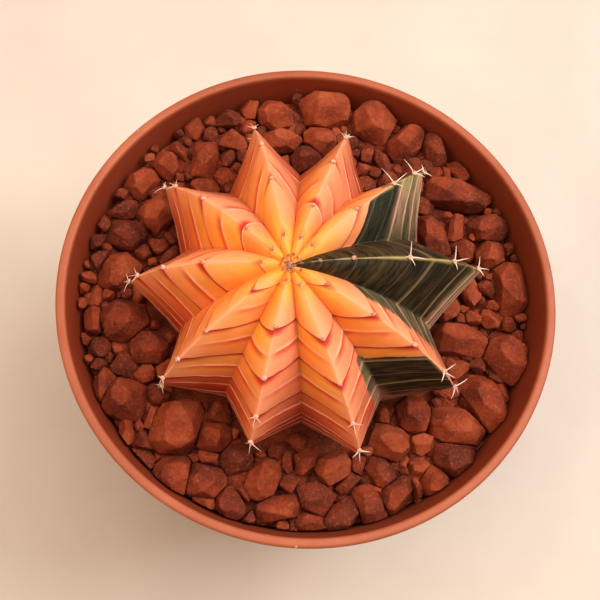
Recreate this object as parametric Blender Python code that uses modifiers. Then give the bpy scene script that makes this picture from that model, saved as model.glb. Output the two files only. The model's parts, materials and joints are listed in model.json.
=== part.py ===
"""Potted moon cactus: a ten-ribbed globe cactus in a turned plastic pot, with soil, grit and stones.

Metres, +Z up. The origin is the centre of the pot's foot, on the surface it stands on.
+Y is the side where the grit is heaped highest, and the cactus leans a little towards -X.
"""

import math
import random

import bmesh
import bpy
import numpy as np
from mathutils import Euler, Vector, noise

MM = 0.001
CLEARANCE = 0.0003  # air left between two pieces that touch

# The pot
POT_HEIGHT = 0.080
RIM_RADIUS = 0.050
RIM_WALL = 0.0019
WALL = 0.0014
BASE_RADIUS = 0.0355
BAND_HEIGHT = 0.012
BAND_STEP = 0.0011
FLOOR_LIFT = 0.0015
FLOOR_THICKNESS = 0.002
FOOT_WIDTH = 0.003
EDGE_ROUND = 0.0004
DRAIN_RADIUS = 0.0035
DRAIN_CIRCLE = 0.020
DRAIN_COUNT = 6
CENTRE_DRAIN_RADIUS = 0.0045
FOOT_NOTCH_WIDTH = 0.006
FOOT_NOTCH_HEIGHT = 0.0011
POT_STEPS = 72

# The soil, and the bed of fine grit on it, whose top is a plane that rises towards +Y
SOIL_TOP = 0.064
WALL_GAP = 0.0004
BED_LEVEL = 0.0695
BED_RISE_Y = 0.060
BED_RISE_X = -0.016
BED_RELIEF = 0.0016
BED_RINGS = 8
BED_STEPS = 60

# The cactus: crest and furrow outlines in millimetres, as (radius, height above the seat)
SEAT_LEVEL = 0.073
CREST = ((0, 23.4), (3.5, 24.6), (9, 24.8), (15, 24), (21, 22.1), (26.5, 19.4), (31, 15.6), (33.6, 12),
         (34, 9.6), (32.8, 5.4), (29.5, 0.5), (24, -4), (16, -8), (8, -12), (3.2, -16), (0, -18))
FURROW = ((0, 23.4), (2.4, 23), (6, 21.9), (10.5, 19.8), (15, 17.2), (19.5, 13.6), (23.3, 9.4), (25.3, 5.6),
          (26, 2.5), (25.6, -0.5), (23.4, -3.6), (19.5, -6.6), (13.5, -9.5), (7, -12.8), (3, -16.2), (0, -18))
RIB_ANGLES = (108, 74, 44, 4, -36, -73, -107, -142, -178, -214)  # degrees from +X, going round by -Y
RIB_REACH = (0.99, 0.955, 0.99, 1.03, 1.04, 1.035, 1.0, 1.0, 0.985, 0.98)
PLANT_CENTRE = (-0.0014, 0.0010)
CROWN_SHIFT = (-0.0035, -0.0016)  # how far the crown lies from the centre of the widest part
CROWN_HEIGHT = 0.0234
ROWS_PER_POINT = 2
RIB_COLUMNS = 6

# The outermost areole of each rib: a wool pad with its spines
PAD_RADIUS = 0.0012
PAD_THICKNESS = 0.0011
PAD_ROW = 6.6
SPINE_LENGTH = 0.0040
SPINE_RADIUS = 0.00024
SPINE_SIDES = 6
SPINES_PER_PAD = 4
SPINE_SPREAD = 52  # degrees between a side spine and the areole's own direction

# The larger stones, in millimetres: (x, y, length, width, turn in degrees from +X)
STONES = (
    (-25.5, -26, 12, 9.3, 70), (32.5, 25, 15, 6, 165), (30.5, -25.5, 12, 7.5, 150),
    (4, 43.5, 10.7, 8, 20), (42, -10.5, 10, 8.5, 130), (37, -20, 13, 6.5, 120),
    (43, 4.5, 12, 6.5, 95), (14, 41, 9.5, 8, 155), (-37, -4.5, 9, 8, 20),
    (-36.5, -20.5, 9, 8, 160), (32, -7, 11, 6.5, 170), (30, -31.5, 8.5, 7.5, 0),
    (-26, -35.5, 8.5, 7.5, 60), (-38.5, 5.5, 9, 7, 60), (-20, -36.5, 8.5, 6.5, 175),
    (21.5, 36.5, 9, 6, 40), (39, 17.5, 9, 5.8, 175), (22, -22.5, 8, 6.5, 100),
    (17, -28.5, 8, 6.5, 160), (-32, -10, 8, 6.5, 0), (12.5, -41, 8.5, 6, 110),
    (-8.5, -36, 8.5, 6, 70), (27, 15.5, 10, 5, 110), (-5.5, -41.5, 10.5, 4.5, 10),
    (-22, 31, 8.7, 5.4, 80), (-37.5, 13.5, 7.5, 6, 160), (18, -38.5, 9, 5, 65),
    (-7, 41.5, 8, 5.5, 155), (1.5, -39.5, 8, 5.5, 160), (7, -43, 8.5, 5, 35),
    (-31.5, 18.5, 7, 6, 45), (2.5, 36, 7, 6, 0), (5.5, -33.5, 7, 5.5, 30),
    (-18.5, -28, 7, 5.5, 0), (-5.5, 36, 8.5, 4.5, 0), (27.5, 35.5, 8.5, 4.3, 105),
    (39, 11.5, 6, 6, 0), (-14, -32, 6.5, 5.5, 20), (-35, 25.5, 7, 4.5, 50),
    (26, -36.5, 6, 5.5, 60), (-0.5, 32, 6.5, 5, 20), (-15, -41, 6.5, 5, 120),
    (15, -34.5, 7, 4.5, 125), (-30, 29.5, 5.5, 5, 60), (-40.5, -18, 7.5, 4, 85),
)
STONE_RISE = 0.0030  # how far every stone stands above the bed, before its width adds to that
STONE_RISE_BY_WIDTH = 0.36
STONE_CENTRE_SHARE = 0.8
STONE_CHIPS = 8
STONE_TILT = math.radians(10)
STONE_GAP = 0.0004
STONE_REACH = 0.018  # two stones whose centres are farther apart can't meet
PLANT_LEAN_BACK = math.radians(40)  # slope of the underside of the ribs over the stones
SEED = 5


def clear_scene():
    for item in list(bpy.data.objects):
        bpy.data.objects.remove(item, do_unlink=True)


def new_collection(name):
    collection = bpy.data.collections.new(name)
    bpy.context.scene.collection.children.link(collection)
    return collection


def linear(channel):
    return channel / 12.92 if channel <= 0.04045 else ((channel + 0.055) / 1.055) ** 2.4


def material(name, colour, roughness):
    """A Principled surface of one sRGB colour, given as three 0-255 values."""
    surface = bpy.data.materials.new(name)
    surface.use_nodes = True
    shader = surface.node_tree.nodes["Principled BSDF"]
    shader.inputs["Base Color"].default_value = (*(linear(c / 255) for c in colour), 1)
    shader.inputs["Roughness"].default_value = roughness
    shader.inputs["Metallic"].default_value = 0
    return surface


def add_object(name, mesh, collection, surface=None):
    item = bpy.data.objects.new(name, mesh)
    collection.objects.link(item)
    if surface:
        mesh.materials.append(surface)
    return item


def mesh_from(name, bm):
    mesh = bpy.data.meshes.new(name)
    bm.to_mesh(mesh)
    bm.free()
    return mesh


def turned(name, profile, steps, collection, surface=None):
    """A profile of (radius, height) points, running down its outer side, turned once about Z."""
    mesh = bpy.data.meshes.new(name)
    points = [(radius, 0, height) for radius, height in profile]
    mesh.from_pydata(points, [(i, i + 1) for i in range(len(points) - 1)], [])
    item = add_object(name, mesh, collection, surface)
    screw = item.modifiers.new("turn", "SCREW")
    screw.axis = "Z"
    screw.steps = screw.render_steps = steps
    screw.use_merge_vertices = True
    screw.merge_threshold = 0.00001
    screw.use_smooth_shade = True
    return item


def mesh_of(item):
    """The item's mesh with its modifiers applied."""
    depsgraph = bpy.context.evaluated_depsgraph_get()
    return bpy.data.meshes.new_from_object(item.evaluated_get(depsgraph))


def as_cutter(item):
    item.hide_render = True
    item.display_type = "WIRE"
    return item


def combine(item, other, operation):
    modifier = item.modifiers.new(f"{operation.lower()}_{other.name}", "BOOLEAN")
    modifier.operation = operation
    modifier.solver = "EXACT"
    modifier.object = other


def shade_round(item, angle=math.radians(35)):
    item.data.shade_smooth()
    item.data.set_sharp_from_angle(angle=angle)


# ---------------------------------------------------------------- pot

POT_TAPER = (RIM_RADIUS - RIM_WALL - BASE_RADIUS + WALL) / POT_HEIGHT


def inner_radius(height):
    """The pot's inner wall, a cone that widens upwards."""
    return BASE_RADIUS - WALL + POT_TAPER * height


def pot_profile():
    """Floor, inner wall, rim, outer band, tapered wall and foot, from the axis back to the axis."""
    floor = FLOOR_LIFT + FLOOR_THICKNESS
    band = POT_HEIGHT - BAND_HEIGHT
    foot_inner = BASE_RADIUS - FOOT_WIDTH
    fillet = 0.002
    return [
        (0, floor),
        (inner_radius(floor) - fillet, floor),
        (inner_radius(floor + fillet), floor + fillet),
        (inner_radius(POT_HEIGHT - EDGE_ROUND), POT_HEIGHT - EDGE_ROUND),
        (inner_radius(POT_HEIGHT) + EDGE_ROUND, POT_HEIGHT),
        (RIM_RADIUS - EDGE_ROUND, POT_HEIGHT),
        (RIM_RADIUS, POT_HEIGHT - EDGE_ROUND),
        (inner_radius(band) + WALL + BAND_STEP, band + EDGE_ROUND),
        (inner_radius(band) + WALL + BAND_STEP - EDGE_ROUND, band),
        (inner_radius(band) + WALL, band),
        (inner_radius(EDGE_ROUND) + WALL, EDGE_ROUND),
        (BASE_RADIUS - EDGE_ROUND, 0),
        (foot_inner, 0),
        (foot_inner - EDGE_ROUND, FLOOR_LIFT),
        (0, FLOOR_LIFT),
    ]


def drain_cutter(name, radius, place, cutters):
    """An upright cylinder that goes right through the floor."""
    bpy.ops.mesh.primitive_cylinder_add(vertices=16, radius=radius, depth=6 * FLOOR_THICKNESS,
                                        location=(place[0], place[1], FLOOR_LIFT))
    item = bpy.context.object
    item.name = name
    for collection in item.users_collection:
        collection.objects.unlink(item)
    cutters.objects.link(item)
    return as_cutter(item)


def notch_cutter(name, angle, cutters):
    """A bar across the whole foot, which leaves a low notch in the foot ring at each of its ends."""
    bm = bmesh.new()
    bmesh.ops.create_cube(bm, size=1)
    bmesh.ops.scale(bm, vec=(3 * BASE_RADIUS, FOOT_NOTCH_WIDTH, 2 * FOOT_NOTCH_HEIGHT), verts=bm.verts)
    item = add_object(name, mesh_from(name, bm), cutters)
    item.rotation_euler = (0, 0, angle)
    return as_cutter(item)


def make_pot(parts, cutters, surface):
    pot = turned("pot", pot_profile(), POT_STEPS, parts, surface)
    drains = [(CENTRE_DRAIN_RADIUS, (0, 0))]
    for k in range(DRAIN_COUNT):
        angle = math.tau * k / DRAIN_COUNT
        drains.append((DRAIN_RADIUS, (DRAIN_CIRCLE * math.cos(angle), DRAIN_CIRCLE * math.sin(angle))))
    for k, (radius, place) in enumerate(drains):
        combine(pot, drain_cutter(f"drain_{k}", radius, place, cutters), "DIFFERENCE")
    for k in range(3):
        combine(pot, notch_cutter(f"foot_notch_{k}", math.pi * (k / 3 + 1 / 6), cutters), "DIFFERENCE")
    return pot


# ---------------------------------------------------------------- cactus


def smooth_path(points, per_point):
    """A Catmull-Rom curve through the points, with per_point steps between each two."""
    path = np.array(points, float)
    ends = np.vstack([2 * path[0] - path[1], path, 2 * path[-1] - path[-2]])
    rows = []
    for i in range(1, len(path)):
        a, b, c, d = ends[i - 1], ends[i], ends[i + 1], ends[i + 2]
        for t in np.arange(per_point) / per_point:
            rows.append(0.5 * (2 * b + (c - a) * t + (2 * a - 5 * b + 4 * c - d) * t**2
                               + (3 * b - a - 3 * c + d) * t**3))
    rows.append(path[-1])
    return np.maximum(np.array(rows), [0, -np.inf]) * MM


def rib_line(outline, angle, reach):
    """An outline of (radius, height) rows stood up at one angle.

    Below the widest row it turns about the plant's centre. Above that row the centre slides over
    to the leaning crown, in step with the radius, so that a crest stays straight seen from above.
    """
    radius, height = outline[:, 0], outline[:, 1]
    widest = radius.argmax()
    lean = 1 - radius / radius[widest]
    lean[widest:] = 0
    full = 1 + (reach - 1) * np.clip(radius / (20 * MM), 0, 1)
    x = PLANT_CENTRE[0] + CROWN_SHIFT[0] * lean + radius * full * math.cos(angle)
    y = PLANT_CENTRE[1] + CROWN_SHIFT[1] * lean + radius * full * math.sin(angle)
    return np.stack([x, y, SEAT_LEVEL + height], axis=-1)


def rib_lines():
    """Each rib's crest line and the furrow line that follows it, going round."""
    crest, furrow = smooth_path(CREST, ROWS_PER_POINT), smooth_path(FURROW, ROWS_PER_POINT)
    lines = []
    for k, angle in enumerate(RIB_ANGLES):
        after = RIB_ANGLES[k + 1] if k + 1 < len(RIB_ANGLES) else RIB_ANGLES[0] - 360
        reach = RIB_REACH[k], RIB_REACH[(k + 1) % len(RIB_REACH)]
        lines.append(rib_line(crest, math.radians(angle), reach[0]))
        lines.append(rib_line(furrow, math.radians((angle + after) / 2), sum(reach) / 2))
    return lines


def cactus_mesh(name):
    """A loft: straight flanks from each crest to each furrow, closed at the crown and the root tip."""
    lines = rib_lines()
    half = RIB_COLUMNS // 2
    columns = []
    for k, line in enumerate(lines):
        following = lines[(k + 1) % len(lines)]
        columns += [line + (following - line) * step / half for step in range(half)]
    rows = len(columns[0])
    bm = bmesh.new()
    top = bm.verts.new(columns[0][0])
    bottom = bm.verts.new(columns[0][-1])
    grid = [[bm.verts.new(point) for point in column[1:-1]] for column in columns]
    for k, column in enumerate(grid):
        after = grid[(k + 1) % len(grid)]
        bm.faces.new((top, after[0], column[0]))
        bm.faces.new((bottom, column[-1], after[-1]))
        for row in range(rows - 3):
            bm.faces.new((column[row], after[row], after[row + 1], column[row + 1]))
    bmesh.ops.recalc_face_normals(bm, faces=bm.faces)
    bmesh.ops.triangulate(bm, faces=bm.faces)
    return mesh_from(name, bm)


def make_cactus(parts, surface):
    return add_object("cactus_body", cactus_mesh("cactus_body"), parts, surface)


def plant_cutter(cutters):
    """The cactus grown by a clearance along its normals, to cut its place in the soil and the grit."""
    mesh = cactus_mesh("plant_clearance")
    bm = bmesh.new()
    bm.from_mesh(mesh)
    bm.normal_update()
    for vertex in bm.verts:
        vertex.co += vertex.normal * 2 * CLEARANCE
    bm.to_mesh(mesh)
    bm.free()
    return as_cutter(add_object("plant_clearance", mesh, cutters))


def make_crown_wool(parts, surface):
    """The woolly tuft in the dimple at the crown, with a conical underside that follows the dimple."""
    lift = 0.0004
    profile = [(0, 0.0022), (0.0012, 0.0019), (0.0018, 0.0012), (0, lift)]
    wool = turned("crown_wool", profile, 14, parts, surface)
    crown = [centre + shift for centre, shift in zip(PLANT_CENTRE, CROWN_SHIFT)]
    wool.location = (*crown, SEAT_LEVEL + CROWN_HEIGHT)
    return wool


def spine_cutter(name, start, direction, cutters):
    """One tapered spine, as a cone whose foot lies inside the pad."""
    bm = bmesh.new()
    bmesh.ops.create_cone(bm, cap_ends=True, segments=SPINE_SIDES, radius1=SPINE_RADIUS,
                          radius2=SPINE_RADIUS / 4, depth=SPINE_LENGTH)
    bmesh.ops.translate(bm, vec=(0, 0, SPINE_LENGTH / 2), verts=bm.verts)
    item = add_object(name, mesh_from(name, bm), cutters)
    item.rotation_mode = "QUATERNION"
    item.rotation_quaternion = direction.to_track_quat("Z", "Y")
    item.location = start
    return as_cutter(item)


def make_spine_cluster(rib, parts, cutters, surface):
    """The wool pad on a rib's outermost areole, with spines fanned out around it."""
    line = rib_lines()[2 * rib]
    row = int(PAD_ROW * ROWS_PER_POINT)
    place = Vector(line[row])
    along = (Vector(line[row + 1]) - Vector(line[row - 1])).normalized()
    angle = math.radians(RIB_ANGLES[rib])
    side = Vector((-math.sin(angle), math.cos(angle), 0))
    out = along.cross(side).normalized()
    out = out if out.dot(Vector((math.cos(angle), math.sin(angle), 0))) > 0 else -out
    name = f"spines_rib_{rib + 1:02d}"
    bm = bmesh.new()
    bmesh.ops.create_icosphere(bm, subdivisions=1, radius=1)
    bmesh.ops.scale(bm, vec=(PAD_RADIUS, PAD_RADIUS, PAD_THICKNESS / 2), verts=bm.verts)
    pad = add_object(name, mesh_from(name, bm), parts, surface)
    pad.rotation_mode = "QUATERNION"
    pad.rotation_quaternion = out.to_track_quat("Z", "Y")
    pad.location = place + out * (PAD_THICKNESS / 2 + CLEARANCE)
    for k in range(SPINES_PER_PAD):
        turn = math.tau * (k + 0.5) / SPINES_PER_PAD
        across = side * math.cos(turn) + along * math.sin(turn)
        tilt = math.radians(SPINE_SPREAD)
        direction = out * math.cos(tilt) + across * math.sin(tilt)
        spine = spine_cutter(f"spine_{rib + 1:02d}_{k + 1}", pad.location, direction, cutters)
        combine(pad, spine, "UNION")
    return pad


# ---------------------------------------------------------------- soil, grit and stones


def bed_height(x, y):
    """The plane that the top of the fine grit follows."""
    return BED_LEVEL + BED_RISE_X * x + BED_RISE_Y * y


def make_soil(parts, cutter, surface):
    """The root ball: a plug that fills the pot under the grit, with a socket for the root stub."""
    bottom = FLOOR_LIFT + FLOOR_THICKNESS + CLEARANCE
    corner = 0.0025
    profile = [(0, SOIL_TOP), (inner_radius(SOIL_TOP) - WALL_GAP, SOIL_TOP),
               (inner_radius(bottom + corner) - WALL_GAP, bottom + corner),
               (inner_radius(bottom) - WALL_GAP - corner, bottom), (0, bottom)]
    soil = turned("soil", profile, 48, parts, surface)
    combine(soil, cutter, "DIFFERENCE")
    return soil


def make_grit_bed(parts, cutters, cutter, surface):
    """The fine grit that the larger stones lie in: a ring round the cactus with a rough, sloping top."""
    bottom = SOIL_TOP + CLEARANCE
    top = BED_LEVEL - BED_RELIEF
    edge = inner_radius(top) - WALL_GAP
    rings = [(edge * k / BED_RINGS, top) for k in range(BED_RINGS + 1)]
    profile = rings + [(inner_radius(bottom) - WALL_GAP, bottom), (0, bottom)]
    blank = turned("grit_blank", profile, BED_STEPS, cutters)
    mesh = mesh_of(blank)
    bpy.data.objects.remove(blank)
    for vertex in mesh.vertices:
        x, y, z = vertex.co
        if z > (bottom + top) / 2:
            rough = 0.5 + 0.5 * noise.noise(Vector((x, y, 0)) / 0.0042)
            vertex.co.z = bed_height(x, y) - BED_RELIEF * min(max(rough, 0), 1)
            shrink = (inner_radius(vertex.co.z) - WALL_GAP) / edge
            vertex.co.x *= shrink
            vertex.co.y *= shrink
    bed = add_object("grit_bed", mesh, parts, surface)
    combine(bed, cutter, "DIFFERENCE")
    return bed


class Stone:
    """Where a stone lies and how large it is, in metres."""

    def __init__(self, x, y, length, width, turn):
        rise = STONE_RISE + STONE_RISE_BY_WIDTH * width * MM
        half_height = rise / (1 + STONE_CENTRE_SHARE)
        ground = bed_height(x * MM, y * MM)
        self.centre = Vector((x * MM, y * MM, ground + STONE_CENTRE_SHARE * half_height))
        self.half = Vector((length * MM / 2, width * MM / 2, half_height))
        self.turn = math.radians(turn)

    def support(self, direction):
        """How far the stone's ellipsoid reaches from its centre along a unit direction."""
        local = direction.copy()
        local.rotate(Euler((0, 0, -self.turn)))
        return math.sqrt(sum((half * part) ** 2 for half, part in zip(self.half, local)))


def chip(bm, point, normal):
    """Cuts away what lies beyond a plane and closes the cut."""
    geometry = bm.verts[:] + bm.edges[:] + bm.faces[:]
    cut = bmesh.ops.bisect_plane(bm, geom=geometry, dist=1e-7, plane_co=point, plane_no=normal,
                                 clear_outer=True)
    edges = [item for item in cut["geom_cut"] if isinstance(item, bmesh.types.BMEdge)]
    if edges:
        bmesh.ops.edgeloop_fill(bm, edges=edges)


def separate_neighbours(bm, stone, stones):
    """Cuts the stone back to the plane it shares with each stone beside it."""
    for other in stones:
        between = other.centre - stone.centre
        distance = between.length
        if other is stone or distance > STONE_REACH:
            continue
        between.normalize()
        share = stone.support(between) / (stone.support(between) + other.support(between))
        chip(bm, stone.centre + between * (distance * share - STONE_GAP / 2), between)


def keep_off_wall(bm, stone):
    """Cuts the stone back to planes that touch the pot's tapered inner wall."""
    angle = math.atan2(stone.centre.y, stone.centre.x)
    for step in (-10, -5, 0, 5, 10):
        turned_by = angle + math.radians(step)
        outwards = Vector((math.cos(turned_by), math.sin(turned_by), 0))
        wall = outwards * (inner_radius(stone.centre.z) - STONE_GAP)
        chip(bm, wall + Vector((0, 0, stone.centre.z)), (outwards - Vector((0, 0, POT_TAPER))).normalized())


def keep_off_plant(bm, stone, plant_points):
    """Cuts the stone back to a plane that leans in under the cactus's ribs."""
    inwards = Vector((PLANT_CENTRE[0] - stone.centre.x, PLANT_CENTRE[1] - stone.centre.y, 0)).normalized()
    normal = (inwards * math.cos(PLANT_LEAN_BACK) + Vector((0, 0, math.sin(PLANT_LEAN_BACK)))).normalized()
    nearest = float((plant_points @ np.array(normal)).min())
    chip(bm, normal * (nearest - STONE_GAP), normal)


def make_stone(name, stone, stones, plant_points, parts, surface):
    """An angular chip of rock: a block with its corners struck off, flat where it lies on the bed."""
    draw = random.Random(f"{SEED} {name}")
    bm = bmesh.new()
    bmesh.ops.create_cube(bm, size=2)
    tilt = Euler((draw.uniform(-STONE_TILT, STONE_TILT), draw.uniform(-STONE_TILT, STONE_TILT), stone.turn))
    bmesh.ops.scale(bm, vec=stone.half, verts=bm.verts)
    bmesh.ops.rotate(bm, cent=(0, 0, 0), matrix=tilt.to_matrix(), verts=bm.verts)
    bmesh.ops.translate(bm, vec=stone.centre, verts=bm.verts)
    for k in range(STONE_CHIPS):
        around = math.tau * (k + draw.uniform(-0.35, 0.35)) / STONE_CHIPS
        climb = draw.uniform(0.1, 1.1)
        normal = Vector((math.cos(around), math.sin(around), climb)).normalized()
        reach = stone.support(normal) * draw.uniform(0.84, 1.02)
        chip(bm, stone.centre + normal * reach, normal)
    separate_neighbours(bm, stone, stones)
    keep_off_wall(bm, stone)
    keep_off_plant(bm, stone, plant_points)
    down = Vector((BED_RISE_X, BED_RISE_Y, -1)).normalized()
    chip(bm, Vector((0, 0, BED_LEVEL)) - down * CLEARANCE, down)
    bmesh.ops.dissolve_degenerate(bm, dist=0.00003, edges=bm.edges)
    bmesh.ops.triangulate(bm, faces=bm.faces)
    bmesh.ops.recalc_face_normals(bm, faces=bm.faces)
    bmesh.ops.translate(bm, vec=-stone.centre, verts=bm.verts)
    item = add_object(name, mesh_from(name, bm), parts, surface)
    item.location = stone.centre
    return item


def main():
    clear_scene()
    parts = new_collection("potted_moon_cactus")
    cutters = new_collection("cutters")
    plastic = material("terracotta_plastic", (178, 88, 62), 0.5)
    skin = material("cactus_skin", (240, 140, 70), 0.5)
    wool = material("crown_wool", (120, 80, 45), 0.9)
    spine = material("spines", (240, 214, 195), 0.6)
    rock = material("red_rock", (150, 66, 38), 0.85)
    earth = material("potting_soil", (46, 28, 20), 0.95)

    make_pot(parts, cutters, plastic)
    cactus = make_cactus(parts, skin)
    cutter = plant_cutter(cutters)
    make_soil(parts, cutter, earth)
    make_grit_bed(parts, cutters, cutter, rock)
    make_crown_wool(parts, wool)
    for rib in range(len(RIB_ANGLES)):
        make_spine_cluster(rib, parts, cutters, spine)

    plant_points = np.array([vertex.co[:] for vertex in cactus.data.vertices])
    stones = [Stone(*row) for row in STONES]
    for k, stone in enumerate(stones):
        make_stone(f"stone_{k + 1:02d}", stone, stones, plant_points, parts, rock)
    shade_round(cactus)


main()
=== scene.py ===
"""Potted moon cactus: the finished surfaces of the plant, its pot and its stones, and a plain studio.

Metres, +Z up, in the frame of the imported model. Every surface is a function of two parameters,
worked out with whole numpy arrays, and every material is procedural.
"""

import json
import math

import bpy
import numpy as np
from mathutils import Matrix, Vector

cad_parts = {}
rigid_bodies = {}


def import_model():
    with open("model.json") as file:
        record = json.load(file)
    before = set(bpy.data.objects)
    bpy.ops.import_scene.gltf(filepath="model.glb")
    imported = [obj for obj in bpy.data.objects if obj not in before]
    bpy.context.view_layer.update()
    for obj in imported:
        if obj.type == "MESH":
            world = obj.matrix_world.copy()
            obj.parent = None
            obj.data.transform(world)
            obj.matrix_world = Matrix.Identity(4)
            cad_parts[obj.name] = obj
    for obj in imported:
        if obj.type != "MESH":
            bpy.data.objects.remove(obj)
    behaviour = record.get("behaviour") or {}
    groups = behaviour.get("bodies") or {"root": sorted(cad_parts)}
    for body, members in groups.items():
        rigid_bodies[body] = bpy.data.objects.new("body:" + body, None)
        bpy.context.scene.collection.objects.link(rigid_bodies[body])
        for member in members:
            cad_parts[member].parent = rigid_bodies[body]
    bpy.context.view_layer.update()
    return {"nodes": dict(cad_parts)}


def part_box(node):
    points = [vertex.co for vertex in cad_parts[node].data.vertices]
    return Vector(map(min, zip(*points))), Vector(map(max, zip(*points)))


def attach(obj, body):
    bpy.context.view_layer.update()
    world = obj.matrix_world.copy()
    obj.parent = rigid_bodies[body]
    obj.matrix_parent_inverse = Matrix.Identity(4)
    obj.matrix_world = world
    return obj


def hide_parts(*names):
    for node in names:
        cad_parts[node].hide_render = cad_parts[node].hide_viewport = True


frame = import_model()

NODES = frame["nodes"]
MM = 0.001
SEED = 11

# The pot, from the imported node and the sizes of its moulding
POT_LOW, POT_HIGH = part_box("pot")
POT_HEIGHT = POT_HIGH.z
RIM_RADIUS = POT_HIGH.x
RIM_WALL = 1.9 * MM
WALL = 1.4 * MM
BASE_RADIUS = 35.5 * MM
BAND_HEIGHT = 12 * MM
BAND_STEP = 1.1 * MM
FLOOR_LIFT = 1.5 * MM
FLOOR_THICKNESS = 2 * MM
FOOT_WIDTH = 3 * MM
INNER_BASE = BASE_RADIUS - WALL
POT_TAPER = (RIM_RADIUS - RIM_WALL - INNER_BASE) / POT_HEIGHT

# The cactus: crest and furrow outlines in millimetres, as (radius, height above the seat)
ROOT_DEPTH = 18 * MM
SEAT_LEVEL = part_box("cactus_body")[0].z + ROOT_DEPTH
CREST = ((0, 23.4), (3.5, 24.6), (9, 24.8), (15, 24), (21, 22.1), (26.5, 19.4), (31, 15.6), (33.6, 12),
         (34, 9.6), (32.8, 5.4), (29.5, 0.5), (24, -4), (16, -8), (8, -12), (3.2, -16), (0, -18))
FURROW = ((0, 23.4), (2.4, 23.5), (6, 22.9), (10.5, 20.9), (15, 17.9), (19.5, 13.6), (23.3, 9.4), (25.3, 5.6),
          (26, 2.5), (25.6, -0.5), (23.4, -3.6), (19.5, -6.6), (13.5, -9.5), (7, -12.8), (3, -16.2), (0, -18))
RIB_ANGLES = (108, 74, 44, 4, -36, -73, -107, -142, -178, -214)
RIB_REACH = (0.99, 0.955, 0.99, 1.03, 1.04, 1.035, 1.0, 1.0, 0.985, 0.98)
RIBS = len(RIB_ANGLES)
PLANT_CENTRE = (-1.4 * MM, 1.0 * MM)
CROWN_SHIFT = (-3.5 * MM, -1.6 * MM)

# The bed that the stones lie on
BED_LEVEL = 69.5 * MM
BED_RISE_Y = 0.060
BED_RISE_X = -0.016


# ---------------------------------------------------------------- shared helpers


def linear(colour, alpha=1.0):
    """A six-digit sRGB hex colour as linear RGBA."""
    parts = [int(colour[i:i + 2], 16) / 255 for i in (0, 2, 4)]
    return (*(c / 12.92 if c <= 0.04045 else ((c + 0.055) / 1.055) ** 2.4 for c in parts), alpha)


def add(tree, kind, inputs=None, stops=None, **settings):
    """Adds one shader node: settings are its properties, inputs are values or the outputs that feed them."""
    node = tree.nodes.new("ShaderNode" + kind)
    for key, value in settings.items():
        setattr(node, key, value)
    for key, value in (inputs or {}).items():
        if isinstance(value, bpy.types.NodeSocket):
            tree.links.new(value, node.inputs[key])
        else:
            node.inputs[key].default_value = value
    if stops:
        ramp = node.color_ramp
        while len(ramp.elements) < len(stops):
            ramp.elements.new(0.5)
        for element, (place, colour) in zip(ramp.elements, stops):
            element.position = place
            element.color = linear(colour)
    return node


def new_surface(name, **constants):
    """An empty material with one Principled shader, whose uniform properties are set on its own sockets."""
    material = bpy.data.materials.new(name)
    material.use_nodes = True
    tree = material.node_tree
    shader = tree.nodes["Principled BSDF"]
    for key, value in constants.items():
        shader.inputs[key.replace("_", " ")].default_value = value
    return material, tree, shader


def finish_surface(tree, shader, colour, roughness=None, height=None, strength=0.3, depth=0.1 * MM):
    """Feeds the shader its colour, and where given its roughness and a bump from a height."""
    tree.links.new(colour, shader.inputs["Base Color"])
    if roughness is not None:
        tree.links.new(roughness, shader.inputs["Roughness"])
    if height is not None:
        bump = add(tree, "Bump", {"Height": height, "Strength": strength, "Distance": depth})
        tree.links.new(bump.outputs["Normal"], shader.inputs["Normal"])


def grid_faces(rows, columns, first=0, wrap=True):
    """Quads between the points of a rows by columns grid, whose columns close on themselves."""
    row, column = np.meshgrid(np.arange(rows - 1), np.arange(columns if wrap else columns - 1), indexing="ij")
    after = (column + 1) % columns
    corners = (row * columns + column, (row + 1) * columns + column, (row + 1) * columns + after,
               row * columns + after)
    return first + np.stack(corners, axis=-1).reshape(-1, 4)


def fan_faces(centre, ring, flip):
    """Triangles from one point to a closed ring of points."""
    after = np.roll(ring, -1)
    sides = (after, ring) if flip else (ring, after)
    return np.stack([np.full_like(ring, centre), *sides], axis=-1)


def make_mesh(name, points, quads, triangles, material, smooth=True, attributes=None):
    """A mesh object at the origin from arrays of points and faces, with float attributes per point."""
    mesh = bpy.data.meshes.new(name)
    faces = [row for part in (quads, triangles) if part is not None for row in part.tolist()]
    mesh.from_pydata(points.reshape(-1, 3).tolist(), [], faces)
    mesh.polygons.foreach_set("use_smooth", np.full(len(mesh.polygons), smooth))
    for key, values in (attributes or {}).items():
        layer = mesh.attributes.new(key, "FLOAT", "POINT")
        layer.data.foreach_set("value", np.ascontiguousarray(values, np.float32).ravel())
    mesh.update()
    mesh.materials.append(material)
    item = bpy.data.objects.new(name, mesh)
    bpy.context.scene.collection.objects.link(item)
    return item


def place(item, slot, replaced=()):
    """Makes a finished piece ride with the part and stand for CAD nodes; its slot is not used."""
    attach(item, "root")
    if replaced:
        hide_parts(*replaced)
    return item


def joined(shapes):
    """Several (points, quads, triangles, values) shapes as the arrays of one mesh."""
    points, quads, triangles, values, first = [], [], [], [], 0
    for shape_points, shape_quads, shape_triangles, shape_values in shapes:
        points.append(shape_points)
        quads.append(shape_quads + first)
        triangles.append(shape_triangles + first)
        values.append(np.broadcast_to(shape_values, len(shape_points)))
        first += len(shape_points)
    return np.concatenate(points), np.concatenate(quads), np.concatenate(triangles), np.concatenate(values)


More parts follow.
